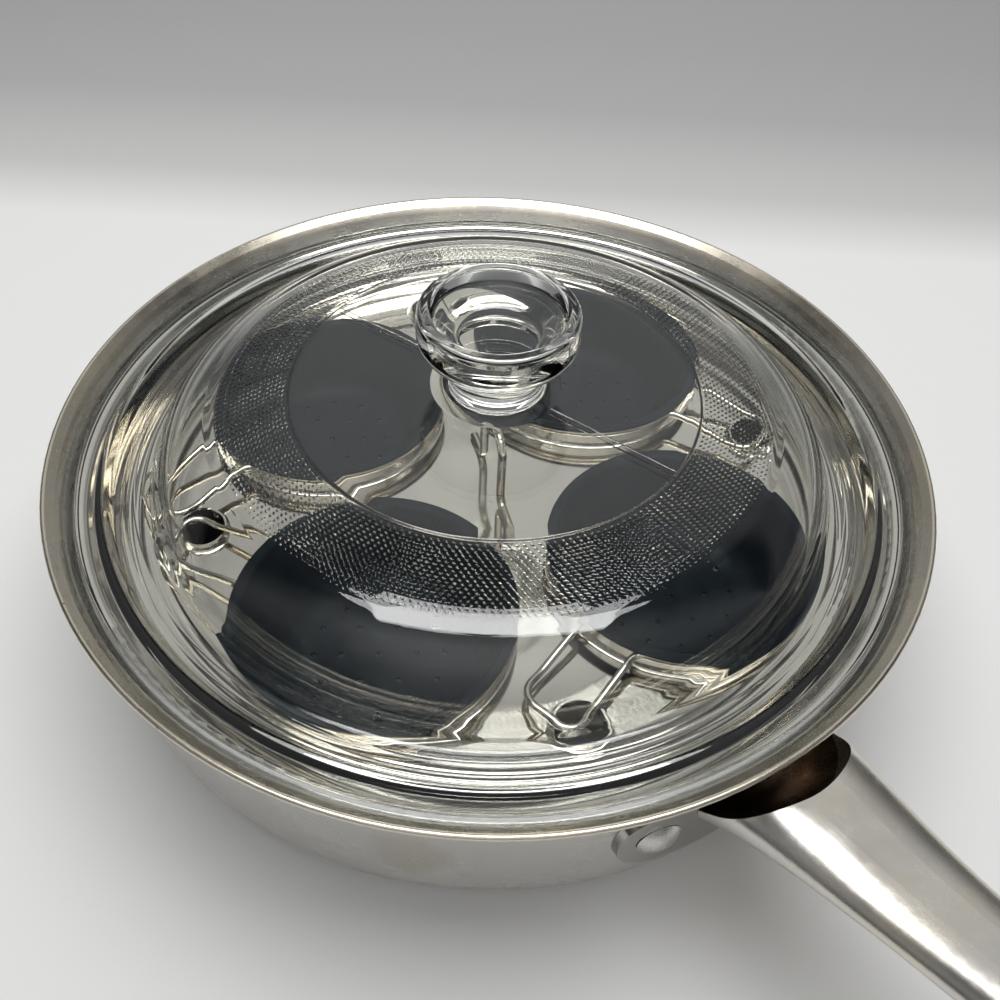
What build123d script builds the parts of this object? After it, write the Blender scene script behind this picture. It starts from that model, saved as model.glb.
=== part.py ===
from build123d import *
from math import asin, cos, degrees, pi, radians, sin, sqrt
import os

# Covered egg poacher pan: pan with riveted handle, tray insert, four wire-handled cups and a glass lid.
# The origin is the centre of the flat base, +Z is up and the handle runs along +X. Sizes are in mm.

os.makedirs("parts", exist_ok=True)

# Pan body: its lip stands outside the lid, and its wall steps in under the lid's edge
lid_radius = 127.2
lid_side_clearance = 0.4
lip_width = 7.8
rim_height = 66.0
rim_bead_radius = 0.9
wall_inset = 1.2
wall_thickness = 1.0
floor_corner_radius = 12.0
ledge_drop = 10.4
ledge_bend_radius = 1.0
lip_foot_rise = 2.4
lip_knee_inset = 3.8
lip_knee_drop = 3.4
lip_foot_bend_radius = 1.5
lip_knee_bend_radius = 6.0

# Base under the pan's floor
core_inset = 22.0
core_thickness = 3.7
core_edge_radius = 1.6
cap_thickness = 0.8

# Insert tray
insert_thickness = 0.6
insert_side_clearance = 0.4
insert_floor_depth = 18.3
insert_wall_run = 6.6
insert_bend_radius = 5.0
insert_rim_bend_radius = 2.0

# Cup places on the tray, and their collars
cup_count = 4
cup_margin = 9.5
cup_gap = 11.75
first_cup_angle = 26.0
collar_height = 5.6
collar_bend_radius = 1.6

# Steam vents between the cups
vent_margin = 24.0
vent_hole_radius = 7.4
vent_height = 2.6
vent_bend_radius = 1.6

# Egg cups
cup_rim_width = 2.4
cup_taper = 11.6
cup_depth = 24.5
cup_thickness = 1.0
cup_bottom_bend_radius = 11.0
cup_rim_bend_radius = 0.8
cup_hole_radius = 0.9
cup_ring_shares = [0.418, 0.727]
cup_ring_counts = [6, 12]

# Wire round each cup, with its loop handle
wire_radius = 1.1
wire_side_clearance = 0.3
wire_top_clearance = 0.1
loop_half_width = 9.0
loop_overreach = 3.5
loop_end_run = 10.5
loop_vent_gap = 0.2
loop_tip_rise = 1.1
loop_root_bend_radius = 4.0
loop_root_run = 3.0
loop_drop_bend_radius = 12.0
loop_tip_bend_radius = 6.0
loop_turns = [-98.0, -92.0, 76.0, -84.0]

# Lift handle at the middle of the insert
lift_wire_radius = 1.4
lift_foot_reach = 23.0
lift_leg_reach = 10.4
lift_height = 27.0
lift_foot_bend_radius = 4.5
lift_top_bend_radius = 6.5
weld_gap = 0.05

# Glass lid
lid_thickness = 4.2
lid_edge_round = 0.8
lid_flange_width = 7.7
lid_trough_bank_width = 3.0
lid_trough_width = 10.0
lid_trough_depth = 5.0
lid_trough_bend_radius = 2.0
lid_foot_bend_radius = 3.0
lid_shoulder_width = 8.5
lid_shoulder_rise = 16.3
lid_shoulder_bend_radius = 22.0
lid_slope_width = 36.2
lid_disc_rise = 22.3
lid_disc_bend_radius = 30.0
lid_crown_rise = 22.9

# Glass knob, in one with the lid
knob_height = 27.0
knob_rim_radius = 23.5
knob_belly_radius = 24.0
knob_belly_rise = 16.0
knob_neck_radius = 13.6
knob_neck_low_rise = 1.4
knob_neck_high_rise = 9.0
knob_base_radius = 20.0
knob_lip_width = 3.6
knob_dish_radius = 12.4
knob_dish_depth = 9.0
knob_neck_bend_radius = 3.6
knob_belly_bend_radius = 7.0
knob_lip_bend_radius = 1.7
knob_dish_bend_radius = 3.0

# Bracket and rivets that carry the handle
bracket_drop = 19.6
bracket_thickness = 2.2
bracket_width = 25.0
bracket_span = 84.8
bracket_end_radius = 11.0
seat_gap = 0.05
rivet_spacing = 63.4
rivet_radius = 3.0
rivet_hole_clearance = 0.1
rivet_head_radius = 6.2
rivet_head_height = 2.6
rivet_back_radius = 5.4
rivet_back_height = 1.4
rivet_back_gap = 0.2

# Handle: its sections have a place beyond the rim, a width, a height and a drop below the rim
handle_wall = 2.0
handle_side_share = 0.36
root_inset = 11.0
root_width = 45.0
root_height = 21.0
root_drop = 24.5
neck_reach = 6.0
neck_width = 39.0
neck_height = 18.0
neck_drop = 15.8
waist_reach = 26.0
waist_width = 32.5
waist_height = 12.5
waist_drop = 11.2
grip_reach_share = 0.326
grip_width = 25.5
grip_height = 11.5
grip_drop = 2.8
palm_reach_share = 0.642
palm_width = 26.0
palm_height = 11.5
palm_drop = -7.5
tail_reach_share = 0.937
tail_width = 25.0
tail_height = 9.0
tail_drop = -10.5
handle_reach = 190.0
handle_end_height = 5.0
handle_end_overrun = 3.0

# Scoop in the handle's neck and the hole to hang it by
scoop_reach = 9.0
scoop_radius = 28.0
scoop_depth = 16.5
scoop_drop = 14.8
scoop_tilt = 18.0
hang_hole_radius = 5.2
hang_hole_length = 22.0
hang_hole_inset = 20.0
cut_overrun = 20.0
drill_overrun = 2.0

# Radii that follow from the lid
rim_radius = lid_radius + lip_width
wall_radius = lid_radius - wall_inset
wall_inner_radius = wall_radius - wall_thickness
recess_outer_radius = lid_radius + lid_side_clearance + wall_thickness
core_radius = wall_radius - core_inset
bracket_radius = wall_radius + seat_gap + bracket_thickness
rivet_angle = degrees(asin(rivet_spacing / 2 / bracket_radius))
insert_wall_radius = wall_inner_radius - insert_side_clearance
insert_floor_radius = insert_wall_radius - insert_wall_run
vent_circle_radius = insert_floor_radius - vent_margin
lid_flange_inner_radius = lid_radius - lid_flange_width
lid_trough_outer_radius = lid_flange_inner_radius - lid_trough_bank_width
lid_trough_inner_radius = lid_trough_outer_radius - lid_trough_width
lid_shoulder_radius = lid_trough_inner_radius - lid_shoulder_width
lid_disc_radius = lid_shoulder_radius - lid_slope_width

# Cups: as wide as they can be inside the margin, with the gap between neighbours
cup_circle_radius = (insert_floor_radius - cup_margin + cup_gap / 2) / (1 + sin(pi / cup_count))
cup_rim_radius = cup_circle_radius * sin(pi / cup_count) - cup_gap / 2
cup_wall_radius = cup_rim_radius - cup_rim_width
cup_bottom_radius = cup_wall_radius - cup_taper
collar_inner_radius = cup_wall_radius + wire_side_clearance
wire_ring_radius = collar_inner_radius + wire_radius
loop_reach = cup_circle_radius + loop_overreach
loop_kink_reach = loop_reach - loop_end_run

# Heights that follow from the rim
base_height = core_thickness + cap_thickness
ledge_height = rim_height - ledge_drop
bracket_height = ledge_height - bracket_drop
lid_seat = ledge_height + insert_thickness
lid_top_level = lid_seat + lid_thickness
insert_floor_top = lid_seat - insert_floor_depth
insert_floor_bottom = insert_floor_top - insert_thickness
collar_top = insert_floor_top + collar_height
wire_level = collar_top + wire_radius
cup_rim_bottom = wire_level + wire_radius + wire_top_clearance
cup_bottom = cup_rim_bottom + cup_thickness - cup_depth


def place(radius, angle, height=0.0):
    """Point at a radius and an angle about the pan's axis."""
    return (radius * cos(radians(angle)), radius * sin(radians(angle)), height)


def cup_angle(index):
    """Angle of one cup place about the pan's axis."""
    return first_cup_angle + index * 360 / cup_count


def vent_angle(index):
    """Angle of one vent, midway between two cup places."""
    return cup_angle(index + 1 / 2)


def circle_at(radius, height):
    """Test for the round edges of one radius at one height."""

    def matches(edge):
        if edge.geom_type != GeomType.CIRCLE:
            return False
        same_radius = abs(edge.radius - radius) < seat_gap
        return same_radius and abs(edge.arc_center.Z - height) < seat_gap

    return matches


# Pan body: one sheet, drawn up from the floor, stepped out at the ledge and flared to the rim
with BuildPart() as pan_body:
    with BuildSketch(Plane.XZ):
        with BuildLine():
            FilletPolyline(
                (0, base_height),
                (wall_radius, base_height),
                (wall_radius, ledge_height - wall_thickness),
                (recess_outer_radius, ledge_height - wall_thickness),
                (recess_outer_radius, ledge_height + lip_foot_rise),
                (rim_radius - lip_knee_inset, rim_height - lip_knee_drop),
                (rim_radius - rim_bead_radius, rim_height - rim_bead_radius),
                radius=[
                    floor_corner_radius,
                    ledge_bend_radius,
                    ledge_bend_radius,
                    lip_foot_bend_radius,
                    lip_knee_bend_radius,
                ],
            )
            offset(amount=wall_thickness, side=Side.LEFT)
        make_face()
        with Locations((rim_radius - rim_bead_radius, rim_height - rim_bead_radius)):
            Circle(rim_bead_radius)
    revolve(axis=Axis.Z)
    for side in (-1, 1):
        outward = place(1, side * rivet_angle)
        with BuildSketch(Plane(origin=(0, 0, bracket_height), z_dir=outward)):
            Circle(rivet_radius + rivet_hole_clearance)
        extrude(amount=rim_radius, mode=Mode.SUBTRACT)
pan_body.part.label = "pan_body"
export_step(pan_body.part, "parts/pan_body.step")

# Base core: plain disc against the underside of the floor
with BuildPart() as base_core:
    with BuildSketch(Plane.XY.offset(cap_thickness)):
        Circle(core_radius)
    extrude(amount=core_thickness)
    fillet(base_core.edges().filter_by(circle_at(core_radius, cap_thickness)), radius=core_edge_radius)
base_core.part.label = "base_core"
export_step(base_core.part, "parts/base_core.step")

# Base cap: thin dish that wraps the core and closes against the floor
with BuildPart() as base_cap:
    with BuildSketch(Plane.XZ):
        with BuildLine():
            FilletPolyline(
                (0, 0),
                (core_radius + seat_gap + cap_thickness, 0),
                (core_radius + seat_gap + cap_thickness, base_height),
                radius=[core_edge_radius + seat_gap + cap_thickness],
            )
            offset(amount=cap_thickness, side=Side.LEFT)
        make_face()
    revolve(axis=Axis.Z)
base_cap.part.label = "base_cap"
export_step(base_cap.part, "parts/base_cap.step")

# Insert: sheet tray whose rim lies on the ledge, with a collar round each cup hole and each vent
with BuildPart() as insert_plate:
    with BuildSketch(Plane.XZ):
        with BuildLine():
            FilletPolyline(
                (0, insert_floor_bottom),
                (insert_floor_radius, insert_floor_bottom),
                (insert_wall_radius, ledge_height),
                (lid_radius, ledge_height),
                radius=[insert_bend_radius, insert_rim_bend_radius],
            )
            offset(amount=insert_thickness, side=Side.LEFT)
        make_face()
    revolve(axis=Axis.Z)
    cup_places = [place(cup_circle_radius, cup_angle(index)) for index in range(cup_count)]
    vent_places = [place(vent_circle_radius, vent_angle(index)) for index in range(cup_count)]
    with BuildSketch(Plane.XY.offset(insert_floor_bottom)):
        with Locations(cup_places):
            Circle(collar_inner_radius + insert_thickness)
    extrude(amount=insert_thickness + collar_height)
    with BuildSketch(Plane.XY.offset(insert_floor_bottom)):
        with Locations(vent_places):
            Circle(vent_hole_radius + insert_thickness)
    extrude(amount=insert_thickness + vent_height)
    cup_roots = insert_plate.edges().filter_by(
        circle_at(collar_inner_radius + insert_thickness, insert_floor_top)
    )
    fillet(cup_roots, radius=collar_bend_radius)
    vent_roots = insert_plate.edges().filter_by(
        circle_at(vent_hole_radius + insert_thickness, insert_floor_top)
    )
    fillet(vent_roots, radius=vent_bend_radius)
    with BuildSketch(Plane.XY.offset(insert_floor_bottom)):
        with Locations(cup_places):
            Circle(collar_inner_radius)
        with Locations(vent_places):
            Circle(vent_hole_radius)
    extrude(amount=insert_thickness + collar_height, mode=Mode.SUBTRACT)
insert_plate.part.label = "insert_plate"
export_step(insert_plate.part, "parts/insert_plate.step")

# Lift handle: bent wire with two splayed feet on the tray, along the line between two vents
foot_level = insert_floor_top + weld_gap + lift_wire_radius
arch_top = insert_floor_top + lift_height
arch_plane = Plane(
    origin=(0, 0, 0), x_dir=place(1, vent_angle(-1)), z_dir=place(1, vent_angle(-1) - 90)
)
with BuildPart() as lift_handle:
    with BuildLine(arch_plane) as arch_path:
        FilletPolyline(
            (lift_foot_reach, foot_level),
            (lift_leg_reach, foot_level),
            (lift_leg_reach, arch_top),
            (-lift_leg_reach, arch_top),
            (-lift_leg_reach, foot_level),
            (-lift_foot_reach, foot_level),
            radius=[
                lift_foot_bend_radius,
                lift_top_bend_radius,
                lift_top_bend_radius,
                lift_foot_bend_radius,
            ],
        )
    with BuildSketch(Plane(origin=arch_path.line @ 0, z_dir=arch_path.line % 0)):
        Circle(lift_wire_radius)
    sweep(path=arch_path.line)
lift_handle.part.label = "lift_handle"
export_step(lift_handle.part, "parts/lift_handle.step")

# Egg cups: tapered sheet cups with a flat rim, drained by small holes in the bottom
for index in range(cup_count):
    cup_axis = Axis(place(cup_circle_radius, cup_angle(index)), (0, 0, 1))
    cup_plane = Plane(
        origin=place(cup_circle_radius, cup_angle(index)), x_dir=place(1, cup_angle(index)),
        z_dir=place(1, cup_angle(index) - 90),
    )
    with BuildPart() as egg_cup:
        with BuildSketch(cup_plane):
            with BuildLine():
                FilletPolyline(
                    (0, cup_bottom),
                    (cup_bottom_radius, cup_bottom),
                    (cup_wall_radius, cup_rim_bottom),
                    (cup_rim_radius, cup_rim_bottom),
                    radius=[cup_bottom_bend_radius, cup_rim_bend_radius],
                )
                offset(amount=cup_thickness, side=Side.LEFT)
            make_face()
        revolve(axis=cup_axis)
        with BuildSketch(Plane(origin=place(cup_circle_radius, cup_angle(index), cup_bottom))):
            Circle(cup_hole_radius)
            for ring_share, ring_count in zip(cup_ring_shares, cup_ring_counts):
                with PolarLocations(cup_bottom_radius * ring_share, ring_count):
                    Circle(cup_hole_radius)
        extrude(amount=drill_overrun, both=True, mode=Mode.SUBTRACT)
    egg_cup.part.label = f"egg_cup_{index + 1}"
    export_step(egg_cup.part, f"parts/egg_cup_{index + 1}.step")

# Cup wires: a ring on the collar, bent outwards into a loop handle that drops to the tray
bend_reach = wire_ring_radius + loop_root_bend_radius
bend_side = loop_half_width + loop_root_bend_radius
bend_along = sqrt(bend_reach**2 - bend_side**2)
bend_share = wire_ring_radius / bend_reach
kink_drop = wire_level - (insert_floor_top + vent_height + loop_vent_gap + wire_radius)
tip_drop = kink_drop - loop_tip_rise
for index in range(cup_count):
    loop_plane = Plane(
        origin=place(cup_circle_radius, cup_angle(index), wire_level),
        x_dir=place(1, cup_angle(index) + loop_turns[index]),
        z_dir=(0, 0, 1),
    )
    with BuildPart() as cup_wire:
        with BuildLine(loop_plane) as wire_path:
            left_start = (bend_along * bend_share, bend_side * bend_share)
            right_start = (bend_along * bend_share, -bend_side * bend_share)
            ThreePointArc(left_start, (-wire_ring_radius, 0), right_start)
            RadiusArc(right_start, (bend_along, -loop_half_width), loop_root_bend_radius)
            FilletPolyline(
                (bend_along, -loop_half_width, 0),
                (bend_along + loop_root_run, -loop_half_width, 0),
                (loop_kink_reach, -loop_half_width, -kink_drop),
                (loop_reach, -loop_half_width, -tip_drop),
                (loop_reach, loop_half_width, -tip_drop),
                (loop_kink_reach, loop_half_width, -kink_drop),
                (bend_along + loop_root_run, loop_half_width, 0),
                (bend_along, loop_half_width, 0),
                radius=[
                    loop_drop_bend_radius,
                    loop_drop_bend_radius,
                    loop_tip_bend_radius,
                    loop_tip_bend_radius,
                    loop_drop_bend_radius,
                    loop_drop_bend_radius,
                ],
            )
            RadiusArc((bend_along, loop_half_width), left_start, loop_root_bend_radius)
        with BuildSketch(Plane(origin=wire_path.wire() @ 0, z_dir=wire_path.wire() % 0)):
            Circle(wire_radius)
        sweep(path=wire_path.wire())
    cup_wire.part.label = f"cup_wire_{index + 1}"
    export_step(cup_wire.part, f"parts/cup_wire_{index + 1}.step")

# Glass lid: flange, trough and dome of one thickness, with the dished knob on top
disc_level = lid_top_level + lid_crown_rise
with BuildPart() as glass_lid:
    with BuildSketch(Plane.XZ):
        with BuildLine():
            FilletPolyline(
                (0, disc_level),
                (knob_base_radius, disc_level),
                (lid_disc_radius, lid_top_level + lid_disc_rise),
                (lid_shoulder_radius, lid_top_level + lid_shoulder_rise),
                (lid_trough_inner_radius, lid_top_level - lid_trough_depth),
                (lid_trough_outer_radius, lid_top_level - lid_trough_depth),
                (lid_flange_inner_radius, lid_top_level),
                (lid_radius, lid_top_level),
                radius=[
                    lid_disc_bend_radius,
                    lid_disc_bend_radius,
                    lid_shoulder_bend_radius,
                    lid_foot_bend_radius,
                    lid_trough_bend_radius,
                    lid_trough_bend_radius,
                ],
            )
            offset(amount=lid_thickness, side=Side.RIGHT)
        flange = make_face()
        fillet(flange.vertices().group_by(Axis.X)[-1], radius=lid_edge_round)
        with BuildLine():
            FilletPolyline(
                (0, disc_level - lid_thickness / 2),
                (knob_base_radius, disc_level - lid_thickness / 2),
                (knob_base_radius, disc_level),
                (knob_neck_radius, disc_level + knob_neck_low_rise),
                (knob_neck_radius, disc_level + knob_neck_high_rise),
                (knob_belly_radius, disc_level + knob_belly_rise),
                (knob_rim_radius, disc_level + knob_height),
                (knob_rim_radius - knob_lip_width, disc_level + knob_height),
                (knob_dish_radius, disc_level + knob_height - knob_dish_depth),
                (0, disc_level + knob_height - knob_dish_depth),
                radius=[
                    0,
                    0,
                    knob_neck_bend_radius,
                    knob_neck_bend_radius,
                    knob_belly_bend_radius,
                    knob_lip_bend_radius,
                    knob_lip_bend_radius,
                    knob_dish_bend_radius,
                ],
            )
            Line(
                (0, disc_level + knob_height - knob_dish_depth),
                (0, disc_level - lid_thickness / 2),
            )
        make_face()
    revolve(axis=Axis.Z)
glass_lid.part.label = "glass_lid"
export_step(glass_lid.part, "parts/glass_lid.step")

# Handle bracket: strap round the wall with rounded ends, drilled for the rivets
with BuildPart() as handle_bracket:
    with BuildSketch(Plane.XY.offset(bracket_height - bracket_width / 2)):
        Circle(bracket_radius)
        Circle(wall_radius + seat_gap, mode=Mode.SUBTRACT)
    extrude(amount=bracket_width)
    with BuildSketch(Plane(origin=(0, 0, bracket_height), x_dir=(0, 1, 0), z_dir=(1, 0, 0))):
        RectangleRounded(bracket_span, bracket_width, bracket_end_radius)
    extrude(amount=rim_radius, mode=Mode.INTERSECT)
    for side in (-1, 1):
        outward = place(1, side * rivet_angle)
        with BuildSketch(Plane(origin=(0, 0, bracket_height), z_dir=outward)):
            Circle(rivet_radius + rivet_hole_clearance)
        extrude(amount=rim_radius, mode=Mode.SUBTRACT)
handle_bracket.part.label = "handle_bracket"
export_step(handle_bracket.part, "parts/handle_bracket.step")

# Handle rivets: domed heads outside, flat heads inside the pan
with BuildPart() as handle_rivets:
    head_face = bracket_radius + seat_gap
    back_face = wall_inner_radius - rivet_back_gap
    for side in (-1, 1):
        outward = place(1, side * rivet_angle)
        rivet_plane = Plane(origin=(0, 0, bracket_height), x_dir=outward, z_dir=(0, 0, 1))
        with BuildSketch(rivet_plane):
            with BuildLine():
                Polyline(
                    (back_face - rivet_back_height, 0),
                    (back_face - rivet_back_height, rivet_back_radius),
                    (back_face, rivet_back_radius),
                    (back_face, rivet_radius),
                    (head_face, rivet_radius),
                    (head_face, rivet_head_radius),
                )
                RadiusArc(
                    (head_face, rivet_head_radius),
                    (head_face + rivet_head_height, 0),
                    (rivet_head_radius**2 + rivet_head_height**2) / (2 * rivet_head_height),
                )
                Line((head_face + rivet_head_height, 0), (back_face - rivet_back_height, 0))
            make_face()
        revolve(axis=Axis((0, 0, bracket_height), outward))
handle_rivets.part.label = "handle_rivets"
export_step(handle_rivets.part, "parts/handle_rivets.step")

# Handle: smooth loft from the bracket to the tail, hollow inside, with a scoop and a slot
cavity_stations = [
    (waist_reach, waist_width, waist_height, waist_drop),
    (handle_reach * grip_reach_share, grip_width, grip_height, grip_drop),
    (handle_reach * palm_reach_share, palm_width, palm_height, palm_drop),
]
handle_stations = [
    (-root_inset, root_width, root_height, root_drop),
    (neck_reach, neck_width, neck_height, neck_drop),
    *cavity_stations,
    (handle_reach * tail_reach_share, tail_width, tail_height, tail_drop),
    (handle_reach + handle_end_overrun, tail_width, handle_end_height, tail_drop),
]


def handle_place(reach, drop):
    """Upright plane across the handle at a reach beyond the rim and a drop below it."""
    return Plane(
        origin=(rim_radius + reach, 0, rim_height - drop), x_dir=(0, 1, 0), z_dir=(1, 0, 0)
    )


def handle_section(width, height):
    """Section across the handle: flat above and below, with elliptical sides."""
    side_width = width * handle_side_share
    flat = width / 2 - side_width
    with BuildSketch() as section:
        with BuildLine():
            for way in (-1, 1):
                Line((-way * flat, -way * height / 2), (way * flat, -way * height / 2))
                EllipticalCenterArc(
                    (way * flat, 0), side_width, height / 2, start_angle=-way * 90, arc_size=180
                )
        make_face()
    return section.sketch


with BuildPart() as handle:
    for reach, width, height, drop in handle_stations:
        with BuildSketch(handle_place(reach, drop)):
            add(handle_section(width, height))
    loft()
    with BuildSketch():
        tail_centre = rim_radius + handle_reach - tail_width / 2
        with Locations((tail_centre / 2, 0)):
            Rectangle(tail_centre, 2 * root_width)
        with Locations((tail_centre, 0)):
            Circle(tail_width / 2)
    extrude(amount=2 * rim_height, mode=Mode.INTERSECT)
    for reach, width, height, drop in cavity_stations:
        with BuildSketch(handle_place(reach, drop)):
            add(handle_section(width - 2 * handle_wall, height - 2 * handle_wall))
    loft(mode=Mode.SUBTRACT)
    with BuildSketch(Plane.XY.offset(bracket_height - rim_height)):
        Circle(bracket_radius + seat_gap)
    extrude(amount=2 * rim_height, mode=Mode.SUBTRACT)
    scoop_plane = Plane(
        origin=(rim_radius + scoop_reach - scoop_radius, 0, rim_height - scoop_drop),
        x_dir=(cos(radians(scoop_tilt)), 0, sin(radians(scoop_tilt))),
        z_dir=(0, -1, 0),
    )
    with BuildSketch(scoop_plane):
        Ellipse(scoop_radius, scoop_depth)
        with Locations((-scoop_radius, 0)):
            Rectangle(2 * scoop_radius, 2 * scoop_depth, mode=Mode.SUBTRACT)
    revolve(axis=Axis(scoop_plane.origin, scoop_plane.y_dir), mode=Mode.SUBTRACT)
    with BuildSketch(Plane.XY.offset(rim_height - tail_drop)):
        with Locations((rim_radius + handle_reach - hang_hole_inset, 0)):
            SlotOverall(hang_hole_length, 2 * hang_hole_radius)
    extrude(amount=cut_overrun, both=True, mode=Mode.SUBTRACT)
handle.part.label = "handle"
export_step(handle.part, "parts/handle.step")
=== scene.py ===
from math import atan2, cos, pi, radians, sin, tan

import bpy
import numpy as np
from mathutils import Matrix, Vector


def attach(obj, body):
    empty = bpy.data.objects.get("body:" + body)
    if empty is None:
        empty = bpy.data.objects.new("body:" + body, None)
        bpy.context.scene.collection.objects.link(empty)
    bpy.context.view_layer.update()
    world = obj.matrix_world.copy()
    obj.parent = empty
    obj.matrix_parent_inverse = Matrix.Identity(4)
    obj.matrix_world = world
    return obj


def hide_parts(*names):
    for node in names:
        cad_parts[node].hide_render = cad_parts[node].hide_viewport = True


# A covered egg poacher: steel pan, mirror tray, four nonstick cups on wires and a moulded glass lid.
# The frame's origin is the centre of the flat base, +Z is up and the handle runs along +X.

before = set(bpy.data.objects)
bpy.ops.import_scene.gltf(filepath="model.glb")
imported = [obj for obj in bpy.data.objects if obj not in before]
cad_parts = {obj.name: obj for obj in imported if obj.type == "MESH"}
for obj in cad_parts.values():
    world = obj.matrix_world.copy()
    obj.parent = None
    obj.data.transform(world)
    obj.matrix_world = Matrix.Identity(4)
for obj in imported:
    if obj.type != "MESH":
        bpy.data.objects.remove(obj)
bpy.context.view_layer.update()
mm = 0.001
# Half the angle between the sides of a corner that is as good as straight
nearly_straight = pi / 2 - 1e-4
# Depth in metres of the finest marks in a surface
mark_depth = 0.0002


# Surfaces
def rounded(points, radii, arc_steps=14):
    """Outline through points whose inner corners are arcs tangent to both sides, radius by radius."""
    points = [np.array(p, float) for p in points]
    line = [points[0]]
    for before, corner, after, radius in zip(points, points[1:], points[2:], radii):
        a, b = before - corner, after - corner
        a, b = a / np.linalg.norm(a), b / np.linalg.norm(b)
        half = 0.5 * np.arccos(np.clip(a @ b, -1, 1))
        if radius <= 0 or half > nearly_straight:
            line.append(corner)
            continue
        reach = radius / tan(half)
        start, end = corner + a * reach, corner + b * reach
        centre = corner + (a + b) / np.linalg.norm(a + b) * radius / sin(half)
        first = atan2(*(start - centre)[::-1])
        turn = (atan2(*(end - centre)[::-1]) - first + pi) % (2 * pi) - pi
        steps = max(2, int(round(arc_steps * abs(turn) / (pi / 2))) + 1)
        for t in np.linspace(0, 1, steps + 1):
            line.append(centre + radius * np.array([cos(first + t * turn), sin(first + t * turn)]))
    line.append(points[-1])
    return np.array(line)


def shifted(points, gap):
    """Corners of the line at a steady gap to the right of the line through points."""
    points = np.array(points, float)
    along = np.diff(points, axis=0)
    along /= np.linalg.norm(along, axis=1)[:, None]
    right = np.c_[along[:, 1], -along[:, 0]]
    moved = [points[0] + gap * right[0]]
    for i in range(1, len(points) - 1):
        mean = right[i - 1] + right[i]
        moved.append(points[i] + 2 * gap * mean / (mean @ mean))
    moved.append(points[-1] + gap * right[-1])
    return np.array(moved)


def ring(radius, height, count, phase=0.0):
    """One circle of points about Z; a zero radius gives a single pole."""
    if radius <= 0:
        return np.array([[0.0, 0.0, height]])
    angle = 2 * pi * (np.arange(count) + phase) / count
    radius = np.broadcast_to(radius, count)
    height = np.broadcast_to(height, count)
    return np.c_[radius * np.cos(angle), radius * np.sin(angle), height]


def between(a, n, b, m):
    """Triangles and quads that close the strip between two rings of n and m points from a and b."""
    if n == m:
        i = np.arange(n)
        j = (i + 1) % n
        return np.zeros((0, 3), int), np.c_[a + i, b + i, b + j, a + j]
    if n == 1:
        i = np.arange(m)
        return np.c_[np.full(m, a), b + i, b + (i + 1) % m], np.zeros((0, 4), int)
    if m == 1:
        i = np.arange(n)
        return np.c_[a + i, np.full(n, b), a + (i + 1) % n], np.zeros((0, 4), int)
    i, j = np.arange(n), np.arange(m)
    at_b = np.ceil((i + 0.5) * m / n - 0.5).astype(int) % m
    at_a = np.floor((j + 0.5) * n / m + 0.5).astype(int) % n
    return np.r_[
        np.c_[a + i, b + at_b, a + (i + 1) % n],
        np.c_[a + at_a, b + j, b + (j + 1) % m],
    ], np.zeros((0, 4), int)


def stacked(rings):
    """A closed skin over rings in order: neighbours are joined by quads, or by a fan or zip of triangles."""
    first, tris, quads = 0, [], []
    for one, two in zip(rings, rings[1:]):
        t, q = between(first, len(one), first + len(one), len(two))
        first += len(one)
        tris.append(t)
        quads.append(q)
    return np.concatenate(rings), np.concatenate(tris), np.concatenate(quads)


def piece(name, body, slot, material, points, tris, quads, replaced):
    """A smooth mesh from whole arrays of points and faces, riding on its body in place of CAD nodes."""
    mesh = bpy.data.meshes.new(name)
    corners = np.concatenate([tris.ravel(), quads.ravel()])
    starts = np.concatenate([3 * np.arange(len(tris)), 3 * len(tris) + 4 * np.arange(len(quads))])
    mesh.vertices.add(len(points))
    mesh.vertices.foreach_set("co", np.asarray(points, float).ravel() * mm)
    mesh.loops.add(len(corners))
    mesh.loops.foreach_set("vertex_index", corners.astype(np.int32))
    mesh.polygons.add(len(starts))
    mesh.polygons.foreach_set("loop_start", starts.astype(np.int32))
    mesh.polygons.foreach_set("use_smooth", np.ones(len(starts), bool))
    mesh.update(calc_edges=True)
    mesh.validate()
    obj = bpy.data.objects.new(name, mesh)
    bpy.context.scene.collection.objects.link(obj)
    mesh.materials.append(material)
    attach(obj, body)
    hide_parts(*replaced)
    return obj


# Materials
def material(name, **settings):
    """A node material with one Principled shader, its own sockets set from settings."""
    made = bpy.data.materials.new(name)
    made.use_nodes = True
    shader = made.node_tree.nodes["Principled BSDF"]
    for socket, value in settings.items():
        shader.inputs[socket.replace("_", " ")].default_value = value
    return made, made.node_tree, shader


def node(tree, kind, settings=None, **sockets):
    """A node of that kind; a socket's value may be another node's output."""
    made = tree.nodes.new("ShaderNode" + kind)
    for key, value in (settings or {}).items():
        setattr(made, key, value)
    for key, value in sockets.items():
        socket = made.inputs[int(key[1:])] if key[1:].isdigit() else made.inputs[key.replace("_", " ")]
        if isinstance(value, bpy.types.NodeSocket):
            tree.links.new(value, socket)
        else:
            socket.default_value = value
    return made


def ramp(tree, value, *stops):
    """A colour ramp over value, from (place, colour) stops; a number stands for a grey."""
    made = node(tree, "ValToRGB", _0=value)
    band = made.color_ramp.elements
    for i, (place, colour) in enumerate(stops):
        stop = band[i] if i < 2 else band.new(place)
        stop.position = place
        stop.color = (colour,) * 3 + (1,) if isinstance(colour, (int, float)) else (*colour, 1)
    return made.outputs["Color"]


def math(tree, operation, a, b=0.0, c=0.0):
    """One Math node's result."""
    return node(tree, "Math", {"operation": operation}, _0=a, _1=b, _2=c).outputs[0]


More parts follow.
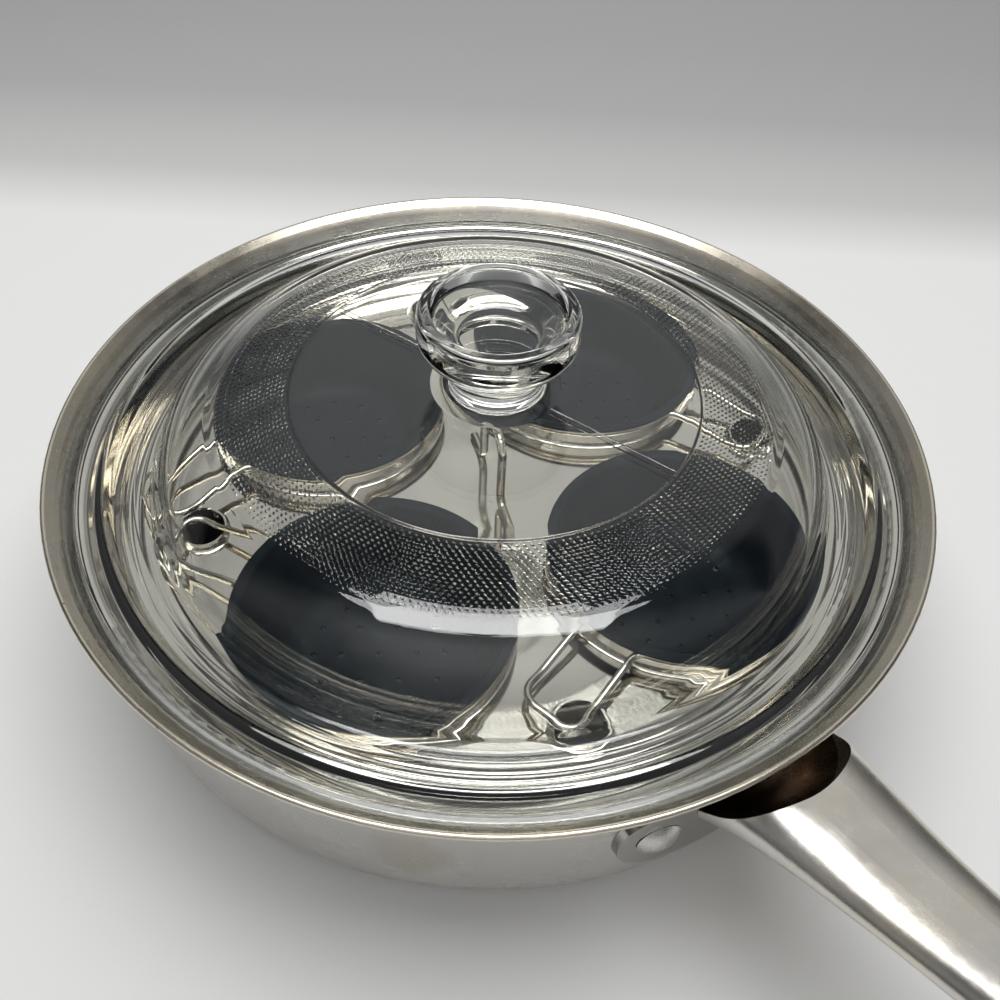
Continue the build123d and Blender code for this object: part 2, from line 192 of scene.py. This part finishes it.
def round_axis(tree):
    """Radius, angle and height about the pan's axis, from object coordinates in metres."""
    place = node(tree, "TexCoord").outputs["Object"]
    x, y, z = node(tree, "SeparateXYZ", _0=place).outputs
    angle = math(tree, "ARCTAN2", y, x)
    radius = math(tree, "SQRT", math(tree, "ADD", math(tree, "MULTIPLY", x, x), math(tree, "MULTIPLY", y, y)))
    return radius, angle, z


def blend(tree, share, one, two, way="MIX"):
    """Colour between one and two by share, or their product and the like for another way."""
    return node(tree, "MixRGB", {"blend_type": way}, _0=share, _1=one, _2=two).outputs[0]


def noise(tree, scale, detail=4.0, vector=None):
    """Noise over object coordinates, or over grain coordinates given as a vector."""
    if vector is None:
        vector = node(tree, "TexCoord").outputs["Object"]
    return node(tree, "TexNoise", Vector=vector, Scale=scale, Detail=detail, Roughness=0.6).outputs["Fac"]


def offset_along(tree, centre, way):
    """Distance along a direction from a centre, in object coordinates."""
    place = node(tree, "TexCoord").outputs["Object"]
    moved = node(tree, "VectorMath", {"operation": "SUBTRACT"}, _0=place, _1=centre).outputs[0]
    return node(tree, "VectorMath", {"operation": "DOT_PRODUCT"}, _0=moved, _1=way).outputs["Value"]


def around(tree, fine=2600.0, drift=4.0):
    """Grain coordinates for brushing in circles about the pan's axis."""
    radius, angle, z = round_axis(tree)
    return node(
        tree, "CombineXYZ", _0=math(tree, "MULTIPLY", radius, fine),
        _1=math(tree, "MULTIPLY", angle, drift), _2=math(tree, "MULTIPLY", z, fine),
    ).outputs[0]


def along(tree, fine=2200.0, drift=45.0):
    """Grain coordinates for brushing along X."""
    place = node(tree, "TexCoord").outputs["Object"]
    return node(tree, "Mapping", _3=(drift, fine, fine), _0=place).outputs[0]


def steel(name, colour, rough, grain, uneven=0.4, relief=0.05, cloud=40.0):
    """Brushed steel: grain lines in gloss and relief; shade and gloss are times least plus cloud by noise."""
    cloud_shade = 0.16
    least_shade = 0.9
    cloud_gloss = 0.9
    least_gloss = 0.55
    made, tree, shader = material(name, Metallic=1.0)
    lines = noise(tree, 1.0, 3.0, vector=grain(tree))
    patches = noise(tree, cloud)
    tone = colour(tree) if callable(colour) else (*colour, 1)
    shade = math(tree, "MULTIPLY_ADD", patches, cloud_shade, least_shade)
    tree.links.new(blend(tree, 1.0, tone, shade, "MULTIPLY"), shader.inputs["Base Color"])
    gloss = math(tree, "MULTIPLY_ADD", lines, rough * uneven, rough * (1 - uneven / 2))
    gloss = math(tree, "MULTIPLY", gloss, math(tree, "MULTIPLY_ADD", patches, cloud_gloss, least_gloss))
    tree.links.new(gloss, shader.inputs["Roughness"])
    bumps = node(tree, "Bump", Strength=relief, Distance=mark_depth, Height=lines).outputs[0]
    tree.links.new(bumps, shader.inputs["Normal"])
    return made


def lip_colour(tree):
    """Pan steel with a straw tint on the flared lip, rust freckles at its near left and a water stain."""
    bare = (0.62, 0.605, 0.575, 1)
    tinted = (0.74, 0.67, 0.53, 1)
    rust_brown = (0.28, 0.12, 0.05, 1)
    stain_brown = (0.50, 0.44, 0.38, 1)
    rust_place = (0.02, -0.13, 0.06)
    stain_place = (0.092, -0.086, 0.033)
    radius = round_axis(tree)[0]
    flare = ramp(tree, math(tree, "MULTIPLY", radius, 5.0), (0.640, 0.0), (0.655, 1.0))
    cloudy = ramp(tree, noise(tree, 22.0), (0.3, 0.35), (0.7, 1.0))
    tone = blend(tree, math(tree, "MULTIPLY", flare, cloudy), bare, tinted)
    freckle = ramp(tree, noise(tree, 900.0, 2.0), (0.70, 0.0), (0.74, 1.0))
    side = math(tree, "ABSOLUTE", offset_along(tree, rust_place, (1, 0, 0)))
    near = ramp(tree, math(tree, "MULTIPLY", side, 10.0), (0.25, 1.0), (0.8, 0.0))
    forward = offset_along(tree, (0, 0, 0), (0, -1, 0))
    front = ramp(tree, math(tree, "MULTIPLY", forward, 5.0), (0.4, 0.0), (0.5, 1.0))
    rust = math(tree, "MULTIPLY", math(tree, "MULTIPLY", freckle, near), math(tree, "MULTIPLY", front, flare))
    tone = blend(tree, rust, tone, rust_brown)
    place = node(tree, "TexCoord").outputs["Object"]
    spot = node(tree, "VectorMath", {"operation": "DISTANCE"}, _0=place, _1=stain_place).outputs["Value"]
    wavy = math(tree, "MULTIPLY_ADD", noise(tree, 90.0), 0.012, spot)
    stain = ramp(tree, math(tree, "MULTIPLY", wavy, 40.0), (0.55, 0.55), (0.75, 0.0))
    return blend(tree, stain, tone, stain_brown)


scoop_centre = (0.1185, 0.0, 0.0465)
scoop_lean = radians(18)
scoop_halves = (0.024, 0.024, 0.013)
scoop_skin = 1.035


def handle_colour(tree):
    """Handle steel with faint heat colours, burnt brown inside the ellipsoid that leans along the scoop."""
    ways = (
        (cos(scoop_lean), 0, sin(scoop_lean)),
        (0, 1, 0),
        (-sin(scoop_lean), 0, cos(scoop_lean)),
    )
    size = 0.0
    for way, half in zip(ways, scoop_halves):
        share = math(tree, "DIVIDE", offset_along(tree, scoop_centre, way), half)
        size = math(tree, "MULTIPLY_ADD", share, share, size)
    inside = math(tree, "LESS_THAN", size, scoop_skin)
    heat = ramp(
        tree, noise(tree, 26.0, 5.0), (0.3, (0.62, 0.605, 0.58)), (0.5, (0.67, 0.64, 0.585)),
        (0.62, (0.69, 0.65, 0.55)), (0.74, (0.64, 0.58, 0.565)),
    )
    burnt = ramp(
        tree, noise(tree, 60.0, 6.0), (0.30, (0.05, 0.045, 0.05)), (0.48, (0.13, 0.10, 0.075)),
        (0.60, (0.28, 0.21, 0.15)), (0.72, (0.09, 0.075, 0.07)),
    )
    return blend(tree, inside, heat, burnt)


def straw(tree):
    """Steel wire with a warm stain here and there."""
    return ramp(tree, noise(tree, 60.0), (0.35, (0.62, 0.61, 0.585)), (0.65, (0.60, 0.54, 0.43)))


pan_steel = steel("pan_steel", lip_colour, 0.27, around)
base_steel = steel("base_steel", (0.55, 0.55, 0.54), 0.30, around, relief=0.12)
core_metal = steel("core_metal", (0.78, 0.78, 0.79), 0.40, around)
handle_steel = steel("handle_steel", handle_colour, 0.26, along, relief=0.03)
bracket_steel = steel("bracket_steel", (0.43, 0.41, 0.385), 0.12, around, relief=0.02)
rivet_steel = steel("rivet_steel", (0.58, 0.57, 0.55), 0.28, around, relief=0.3, cloud=600.0)
tray_steel = steel("tray_steel", (0.73, 0.70, 0.645), 0.09, around, relief=0.004)
wire_steel = steel("wire_steel", straw, 0.09, along, relief=0.02)

nonstick, tree, shader = material("nonstick")
shader.inputs["Specular IOR Level"].default_value = 0.03
mottle = noise(tree, 420.0, 3.0)
worn = ramp(
    tree, noise(tree, 70.0, 6.0), (0.35, (0.003, 0.005, 0.008)), (0.62, (0.006, 0.009, 0.012)),
    (0.78, (0.02, 0.024, 0.028)),
)
tree.links.new(worn, shader.inputs["Base Color"])
tree.links.new(math(tree, "MULTIPLY_ADD", mottle, 0.3, 0.26), shader.inputs["Roughness"])
pits = node(tree, "Bump", Strength=0.12, Distance=mark_depth, Height=mottle).outputs[0]
tree.links.new(pits, shader.inputs["Normal"])

lid_glass, tree, shader = material(
    "lid_glass", Base_Color=(0.972, 0.985, 0.962, 1), Roughness=0.0, IOR=1.5, Transmission_Weight=1.0,
    Specular_IOR_Level=0.25
)
smudge = ramp(tree, noise(tree, 30.0, 5.0), (0.5, 0.0), (0.8, 0.02))
tree.links.new(smudge, shader.inputs["Roughness"])
seam_turn = radians(21)
seam_width = 0.28
seam = math(tree, "ABSOLUTE", offset_along(tree, (0, 0, 0), (-sin(seam_turn), cos(seam_turn), 0)))
ridge = ramp(tree, math(tree, "MULTIPLY", seam, 1 / mm), (0.0, 1.0), (seam_width, 0.0))
radius = math(tree, "MULTIPLY", round_axis(tree)[0], 10.0)
on_disc = ramp(tree, radius, (0.19, 0.0), (0.2, 1.0), (0.61, 1.0), (0.62, 0.0))
height = math(tree, "MULTIPLY", ridge, on_disc)
raised = node(tree, "Bump", Strength=0.6, Distance=mark_depth, Height=height).outputs[0]
tree.links.new(raised, shader.inputs["Normal"])
clear = node(tree, "BsdfTransparent", Color=(0.88, 0.92, 0.89, 1)).outputs[0]
shadow = node(tree, "LightPath").outputs["Is Shadow Ray"]
through = node(tree, "MixShader", _0=shadow, _1=shader.outputs[0], _2=clear).outputs[0]
tree.links.new(through, tree.nodes["Material Output"].inputs["Surface"])

finishes = {
    "pan_body": pan_steel, "base_core": core_metal, "base_cap": base_steel, "handle": handle_steel,
    "handle_bracket": bracket_steel, "handle_rivets": rivet_steel, "insert_plate": tray_steel,
    "lift_handle": wire_steel,
}
for index in range(1, 5):
    finishes[f"egg_cup_{index}"] = nonstick
    finishes[f"cup_wire_{index}"] = wire_steel
for name, finish in finishes.items():
    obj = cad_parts[name]
    obj.data.materials.clear()
    obj.data.materials.append(finish)


# Glass lid, in millimetres
glass_thickness = 4.2
lid_top = 60.4
lid_columns = 220
disc_top = lid_top + 22.9
disc_start = 20.0
disc_fall = 0.6
step_radius = 61.8
trough = lid_top - 5.0
lid_edge = 127.2
edge_bend = 0.8
lid_outline = [
    (disc_start, disc_top), (step_radius, lid_top + 22.3), (98.0, lid_top + 16.3), (106.5, trough),
    (116.5, trough), (119.5, lid_top), (lid_edge, lid_top),
]
lid_bends = [30.0, 30.0, 3.0, 2.0, 2.0]
under_bends = [25.8, 25.8, 7.2, 6.2, edge_bend]
under_start = 124.0
ridge_radii = (111.0, 114.0)
ridge_side = 0.4
ridge_rise = 0.15
knob_columns = 160
knob_outline = [
    (0.0, disc_top + 18.0), (12.4, disc_top + 18.0), (19.9, disc_top + 27.0), (23.5, disc_top + 27.0),
    (24.0, disc_top + 16.0), (13.6, disc_top + 9.0), (13.6, disc_top + 1.4), (disc_start, disc_top),
    (30.0, disc_top - 0.15),
]
knob_bends = [3.0, 1.7, 1.7, 7.0, 3.6, 3.6, 3.0]
dot_pitch = 2.05
dot_row = 1.18
dot_rise = 0.3
dot_rows = 18
dot_side = 0.33
dot_turn = 0.37
dot_lead = 0.8
dot_tail = 1.2
fading_rows = 4
zone_lead = 0.3
# Steps into the stippled zone and out of it: distance along the glass and depth as a share of a dot's height
steps_in = ((0.0, 0.0), (0.18, 0.8), (0.5, 1.0))
steps_out = ((1.5, 0.5), (3.0, 0.0))
after_steps = 3.3


def lid_rings():
    """Rings from the middle of the knob's dish over the dome to the flange, and back underneath.

    The stippled rings carry dots a steady pitch apart, so each ring has a few more than the last.
    """
    rings = [ring(r, z, knob_columns) for r, z in rounded(knob_outline, knob_bends)]
    for r in (40.0, 50.0, 58.0, step_radius - 0.5):
        fall = disc_fall * (r - disc_start) / (step_radius - disc_start)
        rings.append(ring(r, disc_top - fall, lid_columns))
    ridges = []
    for r in ridge_radii:
        ridges += [(r - ridge_side, trough), (r, trough + ridge_rise), (r + ridge_side, trough)]
    bends = lid_bends[:3] + [0.0] * len(ridges) + lid_bends[3:]
    top = rounded(lid_outline[:4] + ridges + lid_outline[4:], bends)
    arc = np.r_[0, np.cumsum(np.linalg.norm(np.diff(top, axis=0), axis=1))]
    zone = np.interp(step_radius + zone_lead, top[:, 0], arc)

    def on_top(s):
        return np.interp(s, arc, top[:, 0]), np.interp(s, arc, top[:, 1])

    for gap, share in steps_in:
        r, z = on_top(zone - zone_lead + gap)
        rings.append(ring(r, z - share * dot_rise, lid_columns))
    for row in range(dot_rows):
        middle = zone + dot_lead + dot_row * (row + 0.5)
        count = int(round(2 * pi * on_top(middle)[0] / dot_pitch))
        peaks = np.tile([0.0, 1.0, 0.0, 0.0], count)
        rise = dot_rise * min(1.0, (dot_rows - row) / fading_rows)
        for way, lift in ((-dot_side, 0.0), (0.0, rise), (dot_side, 0.0)):
            r, z = on_top(middle + way * dot_row)
            rings.append(ring(r, z - dot_rise + lift * peaks, 4 * count, dot_turn * row))
    zone_end = zone + dot_lead + dot_row * dot_rows
    r, z = on_top(zone_end)
    rings.append(ring(r, z - dot_rise, 4 * count))
    for gap, share in steps_out:
        r, z = on_top(zone_end + gap)
        rings.append(ring(r, z - share * dot_rise, lid_columns))
    rest = [*top[np.searchsorted(arc, zone_end + after_steps):-1]]
    low = lid_top - glass_thickness
    edge = [(lid_edge, lid_top), (lid_edge, low), (120.0, low)]
    rest = rounded(rest + edge, [0.0] * (len(rest) - 1) + [edge_bend, edge_bend], arc_steps=8)
    rings += [ring(r, z, lid_columns) for r, z in rest[:-1]]
    under = shifted(lid_outline, glass_thickness)
    under[-1] = (lid_edge, low)
    under = rounded(under, under_bends, arc_steps=20)[::-1]
    inward = np.argmax(under[:, 0] < under_start)
    rings += [ring(r, z, lid_columns) for r, z in under[inward:]]
    rings += [ring(r, disc_top - glass_thickness, lid_columns) for r in (10.0, 0.0)]
    return rings


def facet(obj, inner, outer):
    """Flat shading for the upward faces between two radii, so that the glass between dots stays clear."""
    faces = obj.data.polygons
    centre, facing = np.zeros(3 * len(faces)), np.zeros(3 * len(faces))
    faces.foreach_get("center", centre)
    faces.foreach_get("normal", facing)
    radius = np.hypot(*centre.reshape(-1, 3)[:, :2].T) / mm
    smooth = (radius < inner) | (radius > outer) | (facing[2::3] < 0)
    faces.foreach_set("use_smooth", smooth)


lid = piece("lid_moulding", "lid", "lid_glass", lid_glass, *stacked(lid_rings()), replaced=("glass_lid",))
facet(lid, step_radius + dot_lead, step_radius + dot_tail + dot_row * dot_rows)

# Camera, found from the circles of the rim, lid, disc and knob
turn = radians(53.5)
lean = radians(47.268)
roll = radians(3.232)
camera_place = (0.1869, -0.1344, 0.2804)
right = Vector((cos(turn), sin(turn), 0))
ahead = Vector((-sin(turn) * cos(lean), cos(turn) * cos(lean), -sin(lean)))
above = right.cross(ahead)
sensor_right = cos(roll) * right + sin(roll) * above
sensor_up = cos(roll) * above - sin(roll) * right
camera = bpy.data.cameras.new("camera")
camera.sensor_width = 36.0
camera.lens = 36.0
view = bpy.data.objects.new("camera", camera)
aim = Matrix((sensor_right, sensor_up, -ahead)).transposed().to_4x4()
view.matrix_world = Matrix.Translation(camera_place) @ aim
bpy.context.scene.collection.objects.link(view)
bpy.context.scene.camera = view


# Floor and lights
def stage_sheet(name, colour, points, rows, columns):
    """A plain sheet of the set, from a grid of points, coloured by the distance to the back in metres: pale
    near the pan, then darker greys farther back that are painted shade.
    """
    i = np.arange(rows - 1)[:, None] * columns + np.arange(columns - 1)[None]
    quads = np.stack([i, i + 1, i + columns + 1, i + columns], -1).reshape(-1, 4)
    mesh = bpy.data.meshes.new(name)
    mesh.from_pydata([tuple(p) for p in points], [], quads.tolist())
    mesh.polygons.foreach_set("use_smooth", np.ones(len(quads), bool))
    made, tree, shader = material(name, Roughness=0.9)
    # The darkening toward the back is painted shade, not the sheet's own tone.
    distance = offset_along(tree, (0, 0, 0), tuple(back))
    tree.links.new(ramp(tree, distance, *colour), shader.inputs["Base Color"])
    mesh.materials.append(made)
    obj = bpy.data.objects.new(name, mesh)
    bpy.context.scene.collection.objects.link(obj)
    return obj


back = Vector((-sin(turn), cos(turn), 0))
strides = np.linspace(-2.0, 2.0, 17)
drop = Vector((0, 0, -0.0001))
grid = [right * a + back * s + drop for s in strides for a in strides]
# Floor tones by distance to the back: pale near the pan, then greys that darken farther back as painted shade
# standing in for a backdrop falling into shadow.
paper_with_painted_shade = (
    (0.21, (0.82, 0.82, 0.81)), (0.26, (0.565, 0.565, 0.56)), (0.29, (0.525, 0.525, 0.52)),
    (0.35, (0.425, 0.425, 0.425)), (0.45, (0.40, 0.40, 0.40)),
)
floor = stage_sheet("floor", paper_with_painted_shade, grid, len(strides), len(strides))
floor.visible_shadow = False


def lamp(name, power, size, place, aim):
    """A soft white rectangular lamp; place and aim are in metres to the camera's right, back and up."""
    light = bpy.data.lights.new(name, "AREA")
    light.shape = "RECTANGLE"
    light.size, light.size_y = size
    light.energy = power
    obj = bpy.data.objects.new(name, light)
    spot = right * place[0] + back * place[1] + Vector((0, 0, place[2]))
    away = spot - (right * aim[0] + back * aim[1] + Vector((0, 0, aim[2])))
    away.normalize()
    across = right - away * right.dot(away)
    across.normalize()
    turned = Matrix((across, away.cross(across), away)).transposed().to_4x4()
    obj.matrix_world = Matrix.Translation(spot) @ turned
    bpy.context.scene.collection.objects.link(obj)
    return obj


key_lamp = lamp("key_lamp", 10.0, (1.2, 0.8), (0, 0.15, 1.1), (0, 0, 0))
key_lamp.visible_glossy = False
key_lamp.visible_transmission = False
soft_box = lamp("soft_box", 7.0, (0.75, 0.38), (0.03, -0.05, 0.95), (0.03, -0.05, 0))
soft_box.visible_diffuse = False

world = bpy.data.worlds.new("studio")
bpy.context.scene.world = world
world.use_nodes = True
tree = world.node_tree
way = node(tree, "TexCoord").outputs["Generated"]
height = node(tree, "SeparateXYZ", _0=way).outputs[2]
depth = node(tree, "VectorMath", {"operation": "DOT_PRODUCT"}, _0=way, _1=back).outputs["Value"]
side = node(tree, "VectorMath", {"operation": "DOT_PRODUCT"}, _0=way, _1=right).outputs["Value"]
tilt = math(tree, "MULTIPLY_ADD", math(tree, "ARCTAN2", depth, height), 0.5 / pi, 0.5)
room = ramp(
    tree, tilt, (0.0, 0.3), (1.0, 0.3), (0.25, 0.25), (0.333, 0.5), (0.375, 0.8), (0.43, 0.9), (0.467, 0.5),
    (0.50, 0.12), (0.565, 0.06), (0.59, 0.62), (0.64, 0.62), (0.667, 0.45), (0.708, 0.32), (0.75, 0.4),
)
walls = ramp(
    tree, math(tree, "ABSOLUTE", side), (0.0, 1.0), (0.2, 0.95), (0.36, 0.8), (0.6, 0.34), (0.95, 0.25)
)
tree.links.new(blend(tree, 1.0, room, walls, "MULTIPLY"), tree.nodes["Background"].inputs["Color"])
tree.nodes["Background"].inputs["Strength"].default_value = 1.0

bpy.context.scene.view_settings.view_transform = "Standard"
